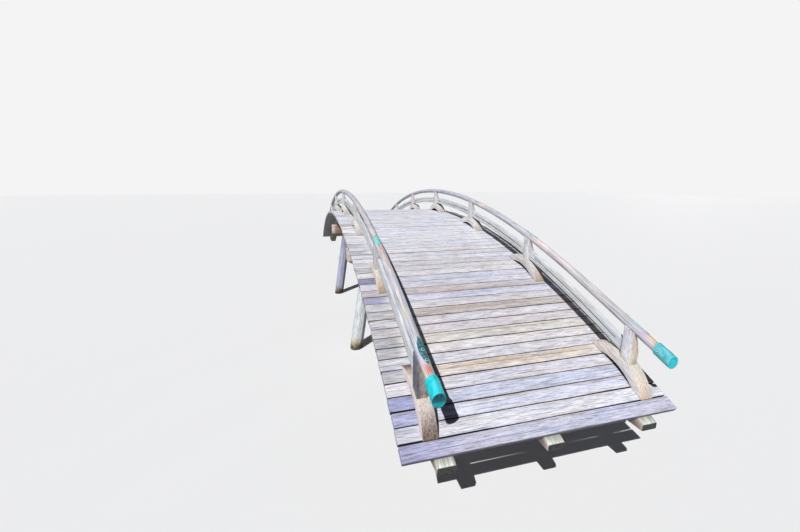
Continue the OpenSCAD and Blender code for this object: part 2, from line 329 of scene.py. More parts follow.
saddleLook = {
    **timberLook,
    "figure": {**railLook["figure"], "mottle": (44, 14, 14, 4.0)},
    "patch": ((0.36, "#f3ebe0"), (0.5, "#fbf9f5"), (0.64, "#f0eef4")),
    "mottle": ((0.38, "#e8e4e1"), (0.5, "#f9f8f7"), (0.58, "#ffffff")),
    "streak": ((0.36, "#dfdddf"), (0.44, "#f5f4f5"), (0.54, "#ffffff")),
    "fibre": ((0.36, "#e2e1e3"), (0.46, "#f7f6f7"), (0.56, "#ffffff")),
    "checkFrom": 0.76,
    "knotShare": 0.1,
    "pore": 12,
    "stain": "#b3a097",
}
postLook = {
    **timberLook,
    "figure": {
        "patch": (120, 40, 40, 3.0), "mottle": (46, 16, 16, 3.0), "streak": (130, 8, 9, 3.0),
        "fibre": (60, 2.4, 2.4, 2.0), "check": (300, 8, 12, 1.0),
    },
    "mottle": ((0.35, "#e3dfdf"), (0.47, "#f6f4f3"), (0.6, "#ffffff")),
    "streak": ((0.36, "#d2d0d4"), (0.44, "#f2f1f3"), (0.54, "#ffffff")),
    "checkFrom": 0.72,
    "knotShare": 0.1,
    "pore": 20,
    "relief": 1.2,
}
boardWood = timberMaterial("silveredCedarBoard", timberLook)
railWood = timberMaterial("planedCedarRail", railLook)
saddleWood = timberMaterial("sawnCedarSaddle", saddleLook)
postWood = timberMaterial("sawnCedarPost", postLook)
frameWood = timberMaterial("darkFrameTimber", {**timberLook, "relief": 2.0, "crack": "#201f1e"})


def copperMaterial(name, look):
    # Sheet copper under an even blue-green patina: matt and chalky, mottled, brown where nails and edges rub it
    material, tree, grain, tint, mark = startMaterial(name)
    cloud = {"Scale": 1000 / look["cloud"], "Detail": 4.0, "Roughness": 0.65}
    cloud = addNode(tree, "TexNoise", cloud, {"Vector": grain})
    place = addNode(tree, "VectorMath", {"operation": "MULTIPLY", 1: (12.0, 190.0, 190.0)}, {0: grain})
    run = addNode(tree, "TexNoise", {"Scale": 1.0, "Detail": 2.0}, {"Vector": place})
    speck = addNode(tree, "TexNoise", {"Scale": 1000 / look["speck"], "Detail": 3.0}, {"Vector": grain})
    colour = tint
    for source, stops in ((cloud, look["mottle"]), (run, look["runs"])):
        ramp = setRamp(addNode(tree, "ValToRGB", links={0: source}), stops)
        colour = addNode(tree, "Mix", {**multiply, 0: 1.0}, {6: colour, 7: ramp})
    rubbed = addNode(tree, "Math", {"operation": "MULTIPLY_ADD", 1: 0.9}, {0: mark[0], 2: speck})
    bare = {"From Min": look["bareFrom"], "From Max": look["bareFrom"] + 0.1}
    bare = addNode(tree, "MapRange", bare, {0: rubbed})
    colour = addNode(tree, "Mix", {"data_type": "RGBA", 7: linear(look["bare"])}, {0: bare, 6: colour})
    relief = addNode(tree, "Math", {"operation": "MULTIPLY_ADD", 1: 0.6}, {0: speck, 2: cloud})
    bump = addNode(tree, "Bump", {"Strength": 0.5, "Distance": look["relief"] / 1000}, {"Height": relief})
    finish = {"Roughness": look["roughness"], "Metallic": look["metallic"], "IOR": 1.5}
    shader = addNode(tree, "BsdfPrincipled", finish, {"Base Color": colour, "Normal": bump})
    addNode(tree, "OutputMaterial", links={0: shader})
    return material


copper = copperMaterial("patinatedCopper", {
    "cloud": 28.0,  # mm across a cloud of patina
    "speck": 5.0,
    "mottle": ((0.35, "#a3d2d2"), (0.5, "#eefafa"), (0.65, "#ffffff")),
    "runs": ((0.35, "#cfe9e9"), (0.6, "#ffffff")),
    "bareFrom": 0.86,
    "bare": "#6b4a3c",
    "relief": 0.8,  # mm
    "roughness": 0.58,
    "metallic": 0.0,  # the patina covers the metal
})
print("materials made")

# Deck boards: 99 by 38 mm planks across the arch, cupped, with worn arrises and long drying checks

deck = {
    "count": 88, "perGroup": 11, "thick": 0.038, "length": 2.0, "arris": 0.0034,
    "stagger": 0.0018,  # how far the ends wander
    "step": 0.04,  # between stations along a board
    "cup": (-0.0016, 0.001),  # the least and the most that a board is hollow, and that it lies off the arch
    "lift": (-0.0012, 0.0014),
    "worn": (0.955, 0.985),  # size of a board's very end and of the station before it
    "joint": (2.5, 6.5),  # mm, the least and the most of an open joint
    "open": 14,  # boards at the near end whose joints all gape
    "later": (0.3, 0.45),  # share of the later joints that gape, and width of the others beside them
    "checkShare": 0.55,  # of the checks not listed below that are open
    "palette": ("#dedee7", "#dadae4", "#dcdfe9", "#d9d8e2", "#dcdbe3", "#e0dde2"),
    # the near boards, from the near end: violet grey, silver and buff by turns
    "tints": (
        "#c8c7da", "#dddbe3", "#d7d7e6", "#cacbdd", "#d9d5dd", "#ded3cd", "#d8d4da", "#e4dee2", "#ddd8d5",
        "#d9d0d5", "#dbd6dd", "#c9c1c1", "#d6d1d6", "#d3d3e4", "#cac1c3", "#d5d2dd", "#d2d2e1", "#e0dcdf",
        "#dbd7dc", "#d6d3da", "#dedce4",
    ),
    "paler": ((18, 26, 34), (1.0, 1.08, 1.15)),  # towards the crest the boards are painted brighter: a painted sheen where the light grazes them
    "shaded": {  # boards whose left overhang is another grey
        0: "#aaa7c6", 1: "#c8c6d1", 2: "#b0b2d2", 3: "#a2a5c6", 5: "#b9b7c0", 7: "#bcb8bb", 8: "#bab7bd",
        9: "#c6c2c6", 11: "#c1c0c6", 12: "#c6c4c7", 13: "#a7a6c3", 16: "#8f8ca5", 18: "#bfbec0",
        22: "#bebec2", 24: "#c9c5c9", 28: "#cdc5c5", 32: "#bfc0be",
    },
    "overhang": (-0.80, 0.04),  # where the overhang's grey starts, and over what length it comes in
    "firstOverhang": (-0.45, 0.5),  # the same for the first board
    "ochre": {5: 0.55, 8: 0.35, 11: 0.3, 22: 0.3},
    # mm at a joint's left end, middle and right end
    "gaps": {1: (12, 3, 9), 2: (4, 3, 9), 3: (11, 4, 3), 4: (5, 3, 3), 6: (5, 4, 2)},
}
# long checks: board, place across (-0.5 to 0.5), from x, to x, width mm, depth mm
deckChecks = [
    (5, 0.10, -0.66, 0.78, 2.6, 7), (8, 0.22, -0.62, 0.71, 3.4, 9), (11, 0.02, -0.7, 0.5, 3.0, 8),
    (14, -0.2, -0.3, 0.75, 2.6, 8), (3, -0.28, 0.1, 0.6, 1.8, 5), (2, 0.18, -0.5, -0.1, 1.8, 5),
    (0, -0.1, -0.85, 0.15, 2.0, 6), (0, 0.25, 0.2, 0.95, 1.6, 5), (18, 0.2, -0.8, 0.1, 2.4, 7),
    (21, 0.05, -0.5, 0.8, 2.6, 8),
]
boardPitch = 2 * halfAngle / deck["count"]


def boardChecks(i, dice):
    # two for each board, one of them in its low half: those above, then by chance a real one or a closed one
    found = [c[1:] for c in deckChecks if c[0] == i]
    while len(found) < 2:
        low = not found or found[0][0] > 0
        if dice.random() < deck["checkShare"]:
            start = dice.uniform(-0.95, 0.4)
            place = dice.uniform(-0.36, -0.08) if low else dice.uniform(0.08, 0.36)
            found.append((place, start, start + dice.uniform(0.25, 0.9), dice.uniform(1.0, 2.2), dice.uniform(3, 6)))
        else:
            found.append((-0.22 if low else 0.22, 0.0, 0.0, 0.4, 0.0))
    return sorted(found)[:2]


def jointEdges(j, x):
    # the two sides of the joint before board j, measured from where evenly spread boards would meet
    dice = np.random.default_rng(2000 + j)
    gap = deck["gaps"].get(j)
    if gap is None:
        gap = dice.uniform(*deck["joint"], 3)
        share, tight = deck["later"]
        if j >= deck["open"] and dice.random() >= share:
            gap *= tight
    gap = np.interp(x, (-1, 0, 1), np.array(gap) / 1000)
    shift = wobble(x, 3 * j, 1.1, 0.0009) + (dice.uniform(-0.0018, 0.0018) if 0 < j < deck["count"] else 0.0)
    return shift - gap / 2, shift + gap / 2


def addBoard(heap, i):
    dice = np.random.default_rng(1000 + i)
    low, high = [deck["length"] / 2 + deck["stagger"] * sin(radians(137.5 * k))
                 for k in (i, deck["count"] - 1 - i)]
    thick, arris = deck["thick"], deck["arris"]
    inner = np.linspace(-low + 0.012, high - 0.012, int((low + high) / deck["step"]))
    x = np.concatenate([[-low, -low + 0.002, -low + 0.006], inner, [high - 0.006, high - 0.002, high]])
    half = boardPitch * archRadius / 2
    left = jointEdges(i, x)[1] - half
    right = jointEdges(i + 1, x)[0] + half
    middle = (left + right) / 2
    cup = dice.uniform(*deck["cup"])
    lift = dice.uniform(*deck["lift"]) + wobble(x, 7 * i + 3, 1.7, 0.0008)
    rows = []

    def column(y, z, dark=0.0, stain=0.0):
        rows.append(np.broadcast_arrays(y, z, dark, stain, x)[:4])

    def top(share):
        return lift + cup * (1 - 4 * share ** 2)

    # round the board from under its near edge: underside, far side, top with its checks, near side; the darks by its
    # joints are painted shade
    first = i == 0
    seamShade = 1.0 if i < deck["open"] else dice.uniform(0.2, 0.8)
    edgeStain = unit(dice.uniform(-0.1, 0.45) + wobble(x, 7 * i + 4, 0.7, 0.3))
    for y in (left + 0.002, middle, right - 0.002):
        # the underside is painted half dark: less weathered wood, and partly painted shade
        column(y, -thick, 0.5)
    # the sides in the joints are painted near black: painted shade in the gaps, with some real dirt
    column(right, -thick * 0.55, 1.0)
    column(right, -arris + lift, 0.8)
    column(right - arris * 0.3, -arris * 0.3 + lift, 0.2, edgeStain * 0.6)
    column(right - arris, top(0.46), 0.02, edgeStain)
    for number, (place, start, end, mouth, deep) in enumerate(boardChecks(i, dice)[::-1]):
        at = middle + place * (right - left) + wobble(x, 7 * i + int(100 * abs(place)), 0.8, 0.0016)
        wide = gape(x, start, end) * (deep > 0)
        reach = 0.0004 + mouth / 2000 * wide
        ochre = deck["ochre"].get(i, 0.0) * wide
        column(at + reach, top(place), 0.0, ochre)
        column(at, top(place) - deep / 1000 * wide, unit(wide * 1.6))
        column(at - reach, top(place), 0.0, ochre * 0.7)
        if number == 0:
            column(middle + dice.uniform(-0.003, 0.003), top(0.0), 0.0, ochre * 0.3)
    column(left + arris, top(-0.46), 0.02, edgeStain * 0.7)
    # painted shade on the near arris and side, darkest at the joints that all gape; the first board's front face is
    # painted a little dark, as painted shade
    column(left + arris * 0.3, -arris * 0.3 + lift, 0.0 if first else 0.72 * seamShade, edgeStain * 0.4)
    column(left, -arris + lift, 0.3 if first else 1.0)
    column(left, -thick * 0.55, 0.72 if first else 1.0)
    y, z, dark, stain = [np.stack(row, 1) for row in zip(*rows)]

    shrink = np.ones((len(x), 1))
    shrink[[0, -1]], shrink[[1, -2]] = deck["worn"]
    y = y * shrink
    z = (z + thick / 2) * (1 - (1 - shrink) * 1.6) - thick / 2
    x = x[:, None]
    rings = onArch(-halfAngle + (i + 0.5) * boardPitch, x, y, archRadius + z)
    grain = grainAt(dice, x, y, z)
    code = deck["tints"][i] if i < len(deck["tints"]) else deck["palette"][dice.integers(len(deck["palette"]))]
    tint = tone(code) * dice.uniform(0.98, 1.03) * np.interp(i, *deck["paler"])
    overhang = tone(deck["shaded"][i]) if i in deck["shaded"] else tint * dice.uniform(0.89, 1.06)
    start, over = deck["firstOverhang" if first else "overhang"]
    tint = mixed(tint, overhang, unit((start - x) / over) + 0 * y)
    addLoft(heap, rings, grain, tint, triple(dark, stain, 0), endMark=(0.0, 0.05, 0.45))


for group in range(deck["count"] // deck["perGroup"]):
    start = group * deck["perGroup"]
    rows = [(i,) for i in range(start, start + deck["perGroup"])]
    addPiece("deck_boards_%d" % (group + 1), boardWood, addBoard, rows)
print("deck boards made")

# Posts and where they stand

posts = {
    "count": 7, "thick": 0.084, "straight": 0.040, "flare": 0.036, "shoulder": 0.075, "tip": 0.020,
    "arris": 0.003, "stations": 26,
    "first": 0.355,  # along the deck from its end
    "sunk": 0.006,  # into the saddle's back
    "dampHeight": 0.05,
    # colours of the left and the near face and of the arris between them, by side and place; a light arris is a
    # painted highlight, and the paler, bluer left faces are partly painted light
    "plain": ("#d3d3da", "#d0cbcb", "#e2dfe0"),
    (-1, 0): ("#6f6f80", "#aba19e", "#7b7b8a"),
    (-1, 1): ("#c6c8d0", "#c4bfbd", "#d8d6d6"),
    (1, 0): ("#dcdde6", "#dfd3c8", "#f4f2f0"),
    "damp": "#6b6772",  # round the near left corner of the first left post
    "lichen": "#d3d2a2",  # towards the feet
}
saddle = {
    "length": 0.555, "height": 0.124, "width": 0.100, "arris": 0.005, "stations": 66,
    "shift": 0.009,  # of the saddles' middle from the rails' middle, towards the right
    "cross": 0.168,  # above the deck, where a post's plumb middle crosses the middle of its saddle
    "hollow": 0.350, "hollowHeight": 0.042,
    "short": 0.0022,  # how far the ends stop before the sharp toes
    "fit": 0.0003,  # above the deck
    "toes": (0.11, 0.13),  # where the toes' colour starts from the middle, and over what length it comes in
    "tips": (0.19, 0.08),  # the same for the stain of their tips
    # colours of the back, of the left side and of the toes, how pitted and how stained, by side and place
    "plain": ("#d2d0d0", "#d6d4d8", "#c8c1bd", 0.1, 0.08),
    (-1, 0): ("#f0e9e8", "#e4dbe0", "#ad9f98", 0.95, 0.5),
    (-1, 1): ("#dcd5ce", "#e0dad8", "#c8b7a4", 0.35, 0.28),
    (1, 0): ("#d2ccc5", "#d6d0d0", "#e6d3c6", 0.12, 0.08),
    (1, 1): ("#cdcac9", "#cfcdd2", "#c6b9ac", 0.1, 0.16),
}
rail = {
    "offset": 0.810, "height": 0.344, "radius": 0.034, "sides": 26,
    "step": 0.02,  # between stations along a rail
    "straight": 0.98,  # along the deck from its end to where a rail stops curving
    "capReach": 0.045,  # of the caps' plumb faces beyond the deck's ends
    "capLength": 0.116,  # level, between the two plumb faces
    "capWall": 0.0087,
    "fit": 0.0003,
    "waist": 0.0014,  # how much slimmer the rails are between their ends
    "rough": 0.0005,  # how far from true
    "joint": 0.0001,  # half of the open joint between two lengths
    "eased": 0.0016,  # off the radius at a length's ends
    # ranges for each length's two drying checks: turn in radians, start and end as shares of the length
    "checks": (((0.9, 1.6), (0.05, 0.4), (0.5, 0.95)), ((3.0, 3.6), (0.0, 0.4), (0.5, 1.0))),
    "checkDepth": 0.004,
    "checkTurn": 0.035,  # radians from a check's middle to its lips
    "palette": ("#c1bfc8", "#c4c2c9", "#bebdc8", "#c5c1c4", "#c2c0c6"),
    # stains by the copper, and pale blue painted sky reflection on the left rail's right flank: side, place along
    # from the crown, half length, turn and spread in degrees, colour
    "patches": (
        (-1, -4.30, 0.3, 175, 30, "#a9adc0"), (-1, -4.37, 0.1, 130, 22, "#dcc0dc"),
        # b9d3e6 here and #dcedff below, pale blue on the right flank, are painted sky reflection
        (-1, -4.372, 0.038, 90, 26, "#d2744e"), (-1, -4.36, 0.08, 38, 18, "#b9d3e6"),
        (-1, -4.40, 0.07, 155, 14, "#d8cf86"), (-1, -3.87, 0.06, 112, 16, "#cfcd9c"),
        (-1, -3.87, 0.06, 82, 16, "#d9c6da"), (-1, -3.66, 0.1, 104, 18, "#dcc6c8"),
        (-1, -2.95, 0.3, 82, 26, "#e2b096"), (-1, -3.3, 0.2, 98, 22, "#dac2c0"),
        (-1, -3.5, 0.6, 40, 24, "#dcedff"), (1, -4.36, 0.08, 130, 40, "#c9b4d2"),
        (1, -4.385, 0.045, 100, 34, "#e0cc9c"), (1, -4.425, 0.02, 110, 60, "#dd9c84"),
        (1, -3.06, 0.12, 118, 42, "#ead2d0"), (1, -3.36, 0.16, 110, 44, "#e4d2da"),
        (1, -1.74, 0.08, 124, 36, "#e2c6ba"),
    ),
}
railRadius = archRadius + rail["height"]
bendAngle = halfAngle - rail["straight"] / archRadius
bendAlong = railRadius * bendAngle
bendY = railRadius * sin(bendAngle)
capTip = arch["span"] / 2 + rail["capReach"]
tipAlong = bendAlong + (capTip - bendY) / cos(bendAngle)  # from the crown, along the middle of a rail
postAngle = halfAngle - posts["first"] / archRadius
postAt = [-postAngle + i * 2 * postAngle / (posts["count"] - 1) for i in range(posts["count"])]
backRadius = archRadius + saddle["height"]
postY = [backRadius * sin(a) for a in postAt]
saddleAt = [asin(y / (archRadius + saddle["cross"])) for y in postY]
saddleR = ((saddle["length"] / 2) ** 2 + saddle["height"] ** 2) / (2 * saddle["height"])
hollowR = ((saddle["hollow"] / 2) ** 2 + saddle["hollowHeight"] ** 2) / (2 * saddle["hollowHeight"])


def onRail(along, side, x, w):
    # a point by a top rail, this far along its middle from the crown: x across, w square out of it
    angle = np.clip(along / railRadius, -bendAngle, bendAngle)
    return onArch(angle, side * rail["offset"] + x, along - angle * railRadius, railRadius + w)


def railHeight(y):
    curved = centreZ + np.sqrt(railRadius ** 2 - np.minimum(np.abs(y), bendY) ** 2)
    return curved - np.maximum(np.abs(y) - bendY, 0) * tan(bendAngle)


def railAlong(y):
    if abs(y) > bendY:
        return copysign(bendAlong + (abs(y) - bendY) / cos(bendAngle), y)
    return railRadius * asin(y / railRadius)


def addSaddle(heap, side, i):
    dice = np.random.default_rng(300 + 10 * i + side)
    reach = saddle["length"] / 2 - saddle["short"]
    y = np.concatenate([[-reach], np.linspace(-reach + 0.004, reach - 0.004, saddle["stations"]), [reach]])
    top = saddle["height"] - saddleR + np.sqrt(saddleR ** 2 - y ** 2)
    bottom = np.sqrt(archRadius ** 2 - y ** 2) - archRadius + saddle["fit"]
    inside = np.abs(y) < saddle["hollow"] / 2
    hollow = saddle["hollowHeight"] - hollowR + np.sqrt(np.maximum(hollowR ** 2 - y ** 2, 0))
    bottom = np.where(inside, np.maximum(bottom, hollow), bottom)
    half = saddle["width"] / 2 + wobble(y, 31 * i + side, 0.3, 0.0006)
    x, z = sectionRing(-half, half, bottom, top, np.minimum(saddle["arris"], (top - bottom) * 0.3))
    y = y[:, None]
    rings = onArch(saddleAt[i], side * rail["offset"] + saddle["shift"] + x, y, archRadius + z)
    grain = grainAt(dice, y, x, z)
    back, flank, toe, pitted, stained = saddle.get((side, i), saddle["plain"])
    low, tip = [unit((np.abs(y) - start) / over) for start, over in (saddle["toes"], saddle["tips"])]
    low, tip = low ** 1.3, tip ** 1.5
    tint = mixed(faceTints(len(y), back, back, back, flank), faceTints(len(y), toe, toe, toe, flank), low)
    onFlank = np.isin(np.arange(16), (12, 13, 14))
    mark = triple(0.06 * tip, np.where(onFlank, 0.05, stained + 0.25 * tip),
                  np.where(onFlank, 0.0, pitted * (0.35 + 0.65 * low)))
    mark[:, :3, 0] = inside[:, None]  # painted shade: the hollow's roof is dark
    addLoft(heap, rings, grain, tint * dice.uniform(0.97, 1.03), mark, endMark=(0.2, 0.5, 0.5))


def addPost(heap, side, i):
    dice = np.random.default_rng(500 + 10 * i + side)
    footZ = centreZ + backRadius * cos(postAt[i])
    tipZ = float(railHeight(postY[i]))
    half = posts["thick"] / 2
    # the ring's points: their place along the bridge, and across as a share of the post's width
    y = postY[i] + sectionRing(-half, half, 0, 1, posts["arris"], 1 / 3)[0]
    across = sectionRing(0, 1, 0, 1, 0.06, 1 / 3)[1]
    # each corner starts in the saddle's back, found by walking down its circle, and ends in the rail
    a, r = saddleAt[i], archRadius + saddle["height"] - saddleR
    foot = centreZ + r * cos(a) + np.sqrt(saddleR ** 2 - (y - r * sin(a)) ** 2) - posts["sunk"]
    head = railHeight(y) - rail["radius"] / 3 / cos(postAt[i])
    z = foot + np.linspace(0, 1, posts["stations"])[:, None] * (head - foot)
    taper = unit((z - footZ - posts["shoulder"]) / (tipZ - footZ - posts["shoulder"]))
    right = posts["flare"] + taper * (posts["tip"] - posts["straight"] - posts["flare"])
    left = -posts["straight"]
    x = left + across * (right - left)
    rings = triple(side * rail["offset"] + x, y, z)
    grain = grainAt(dice, z, x, y)
    low = unit(1 - (z - foot) / posts["dampHeight"])
    leftCode, nearCode, arrisCode = posts.get((side, i), posts["plain"])
    tint = faceTints(len(z), leftCode, nearCode, nearCode, nearCode) * dice.uniform(0.97, 1.03)
    # the arris colour: a painted highlight on all but the first left post
    tint[:, 15] = tone(arrisCode)
    tint = mixed(tint, tone(posts["lichen"]), 0.5 * low ** 1.5)
    mark = triple(0.1 * low ** 4, 0.03 + 0.12 * low, 0)
    if (side, i) == (-1, 0):
        mark[..., 2] = 0.45
        tint[:, 14] = tone(posts["damp"])
    addLoft(heap, rings, grain, tint, mark)


for side, word in sides:
    rows = [(side, i) for i in range(posts["count"])]
    addPiece(word + "_saddles", saddleWood, addSaddle, rows)
    addPiece(word + "_posts", postWood, addPost, rows)
print("saddles and posts made")

# Top rails: round lengths that meet over the posts

heads = [railAlong(y) for y in postY]
endAlong = tipAlong - (rail["capWall"] + rail["fit"]) / cos(bendAngle)
joints = [-endAlong] + heads[1:-1] + [endAlong]


def addRailLength(heap, side, k):
    dice = np.random.default_rng(700 + 20 * k + side)
    start, end = joints[k] + rail["joint"], joints[k + 1] - rail["joint"]
    length = end - start
    inner = np.linspace(0.004, length - 0.004, int(length / rail["step"]))
    along = np.concatenate([[0, 0.0012], inner, [length - 0.0012, length]])
    phis = list(np.linspace(0, 2 * pi, rail["sides"], endpoint=False))
    grooves = [None] * len(phis)
    for spans in rail["checks"]:
        phi, *reach = [dice.uniform(*span) for span in spans]
        phis += [phi - rail["checkTurn"], phi, phi + rail["checkTurn"]]
        grooves += [None, reach, None]
    order = np.argsort(phis)
    phis, grooves = np.array(phis)[order], [grooves[j] for j in order]
    radius = rail["radius"] + rail["rough"] * np.sin(phis * 3 + dice.uniform(0, 6))
    radius = radius + wobble(along, 40 * k + side, 0.5, rail["rough"])[:, None]
    radius = radius - rail["waist"] * unit(4.2 - np.abs(start + along))[:, None]
    twist = 0.04 * np.sin(along * 3 + dice.uniform(0, 6))[:, None]
    dark = np.zeros(radius.shape)
    for j, reach in enumerate(grooves):
        if reach:
            wide = gape(along / length, *reach)
            radius[:, j] -= rail["checkDepth"] * wide
            dark[:, j] = unit(wide * 1.4)
    radius[[0, -1]] -= rail["eased"]
    phi = phis + twist
    x, w = radius * np.cos(phi), radius * np.sin(phi)
    place = (start + along)[:, None]
    # the hidden ends are cut plumb inside their caps
    lean = unit((np.abs(place) - tipAlong + 0.13) / 0.12)
    rings = onRail(place - np.sign(place) * w * tan(bendAngle) * lean, side, x, w)
    grain = grainAt(dice, place, x, w)
    tint = tone(rail["palette"][dice.integers(len(rail["palette"]))])
    # colour patches: stains, and on the left rail's right flank a painted sky reflection
    for patchSide, where, reach, turn, spread, code in rail["patches"]:
        if patchSide == side:
            share = np.exp(-((place - where) / reach) ** 4 - ((np.degrees(phi) - turn) / spread) ** 2)
            tint = mixed(tint, tone(code), share)
    addLoft(heap, rings, grain, tint, triple(np.maximum(dark, 0.25 * unit(-np.sin(phi))), 0, 0))


for side, word in sides:
    rows = [(side, k) for k in range(len(joints) - 1)]
    addPiece(word + "_top_rail", railWood, addRailLength, rows)
print("top rails made")

# Copper: caps over the rails' ends, plates nailed over the posts' heads, with their nails and rivets

caps = {
    "round": 0.003, "lip": 0.0012, "sides": 60,
    "face": (0.0405, 0.0375, 0.034, 0.030, 0.026, 0.022, 0.018, 0.014, 0.010, 0.006, 0.003, 0.0005),  # rings' radii
    "knocks": ((-0.011, 0.016, 0.0075, 0.010), (0.014, 0.020, 0.006, 0.010)),  # across, up, half width, half height
    "knockDepth": 0.005,
    "stain": "#052c36",  # in the knocks of the left caps
    "paintedHighlight": ("#b9ecf6", 0.07, 0.04, 0.16),  # colour, place along, half length, half turn in radians of a pale painted highlight
    # colours of the back, the face and its rim; above what height the face's colour shows; where the pale painted
    # highlight runs;
    # turn of the rivet in degrees from +X
    "left": {"top": "#0cd3e0", "end": "#045e70", "rim": "#14a8b0", "from": -0.010, "paintedHighlight": 1.75, "rivet": 18},
    "right": {"top": "#58b6c4", "end": "#33d4e0", "rim": "#8fd6dc", "from": -0.06, "paintedHighlight": 1.9, "rivet": 162},
    "rivet": (0.0095, 0.0036, "#7a6464", "#f6eef0"),  # radius, height, brown rim and crown; the crown's near-white is a painted highlight
    "rivetInset": 0.03,  # from the mouth
}


def addDome(heap, side, along, phi, radius, wide, high, rim, crown):
    # a rivet or nail head on the rail: stations from its rim to its crown, as shares of its width and height
    turns = np.linspace(0, 2 * pi, 14, endpoint=False)
    rings, tints = [], []
    for share, rise in ((1.0, -0.2), (1.0, 0.25), (0.86, 0.62), (0.62, 0.85), (0.54, 0.86), (0.3, 0.98), (0.03, 1.0)):
        p = phi + wide * share * np.sin(turns) / radius
        r = radius + high * rise
        rings.append(onRail(along + wide * share * np.cos(turns), side, r * np.cos(p), r * np.sin(p)))
        tints.append([tone(rim if share > 0.6 else crown)] * len(turns))
    rings = np.array(rings)
    addLoft(heap, rings, rings, np.array(tints), endMark=(0, 0, 0))


def addCap(heap, side, end):
    dice = np.random.default_rng(900 + 3 * side + end)
    colours = caps["left" if side < 0 else "right"]
    inner = rail["radius"] + rail["fit"]
    outer = inner + rail["capWall"]
    length, r, lip = rail["capLength"] / cos(bendAngle), caps["round"], caps["lip"]
    seat = length - rail["capWall"] / cos(bendAngle)
    # (along, radius) from the middle of the seat, out over the mouth and back to the middle of the face
    profile = [(seat, 0.0005), (seat, inner), (0.0, inner), (0.0, outer - lip), (lip, outer)]
    profile += [(s, outer) for s in np.linspace(0.008, length - r, 14)]
    profile += [(length - r + r * sin(a), outer - r + r * cos(a)) for a in np.linspace(0.3, pi / 2, 5)]
    profile = np.array(profile + [(length, q) for q in caps["face"]])
    phis = np.linspace(0, 2 * pi, caps["sides"], endpoint=False)
    s, radius = profile[:, :1], profile[:, 1:]
    x, w = radius * np.cos(phis), radius * np.sin(phis)
    dents = 0.0006 * np.sin(phis * 2 + s * 60 + dice.uniform(0, 6))
    dents = dents + 0.0004 * np.sin(phis * 5 - s * 110 + dice.uniform(0, 6))
    swell = 1 + np.where(radius > inner + 0.002, dents, 0.0) / outer
    face = unit((s - length + 0.002) / 0.002)
    knock = face * sum(np.exp(-(((x - px) / wide) ** 2 + ((w - pw) / high) ** 2))
                       for px, pw, wide, high in caps["knocks"])
    # both ends are plumb although the rail slopes
    place = tipAlong - length + s - caps["knockDepth"] * knock - w * tan(bendAngle)
    rings = onRail(end * place, side, x * swell, w * swell)
    grain = grainAt(dice, s, x, w, spread=10)
    # the rim colour, on the face's rounded edge and below the face colour's height, is a painted highlight
    tint = mixed(tone(colours["top"]), tone(colours["rim"]), face)
    onFace = face * unit((0.0412 - radius) / 0.002) * unit(0.5 + (w - colours["from"]) / 0.012)
    # the left caps' dark face colour is partly patina and partly painted shade
    tint = mixed(tint, tone(colours["end"]), onFace)
    if side < 0:
        tint = mixed(tint, tone(caps["stain"]), np.clip(1.3 * knock ** 0.6, 0, 0.92))
    # the rim colour along the cap's left side: on the right caps a painted highlight where the light falls, on the
    # left caps a darker tone
    tint = mixed(tint, tone(colours["rim"]), 0.6 * unit(-np.cos(phis) - 0.35) * (1 - face))
    # a pale painted highlight along the top of the cap
    code, at, reach, spread = caps["paintedHighlight"]
    paintedHighlight = np.exp(-(((s - at) / reach) ** 2 + ((phis - colours["paintedHighlight"]) / spread) ** 2))
    tint = mixed(tint, tone(code), 0.4 * paintedHighlight * (1 - face))
    addLoft(heap, rings, grain, tint, triple(0.1 * (s < 0.002), 0 * x, 0), endMark=(0, 0, 0))
    place = end * (tipAlong - length + caps["rivetInset"])
    addDome(heap, side, place, radians(colours["rivet"]), outer - 0.0004, *caps["rivet"])


for end, first in ((-1, "near"), (1, "far")):
    for side, word in sides:
        addPiece("%s_%s_cap" % (first, word), copper, addCap, [(side, end)])

plates = {
    "length": 0.230, "width": 0.052, "thick": 0.002,
    "grid": (42, 15),  # points along and across
    # turn in degrees from the top of the rail towards +X, colour, rim and middle of the nails
    # the first left plate's dark colour is partly painted shade, as it turns away from the light
    (-1, 0): (8, "#1f5260", "#bfe6dc", "#173238"),
    (-1, 1): (-13, "#86d6d0", "#b9e3dc", "#3c7f83"),
    (-1, 5): (-3, "#5cbdb4", "#9bd0c8", "#386e70"),
    (-1, 6): (-3, "#3f8f8c", "#9bc5c0", "#2a5558"),
    (1, 0): (30, "#bdd6de", "#dcecea", "#6a9ea2"),
    (1, 1): (30, "#b8d4da", "#d8eae8", "#679c9f"),
    (1, 5): (30, "#7cc4bf", "#b5dbd5", "#4c8688"),
    (1, 6): (30, "#63b3ae", "#a5cfc9", "#3c7375"),
    "nail": (0.0118, 0.0012),  # radius and height of a head
    "nailStep": 0.081,
    "worn": {(-1, 0, 1): "#4f8c8a"},  # a nail rubbed dull
    "cloud": {(-1, 0): "#55848f"},  # a second colour in the patina
}


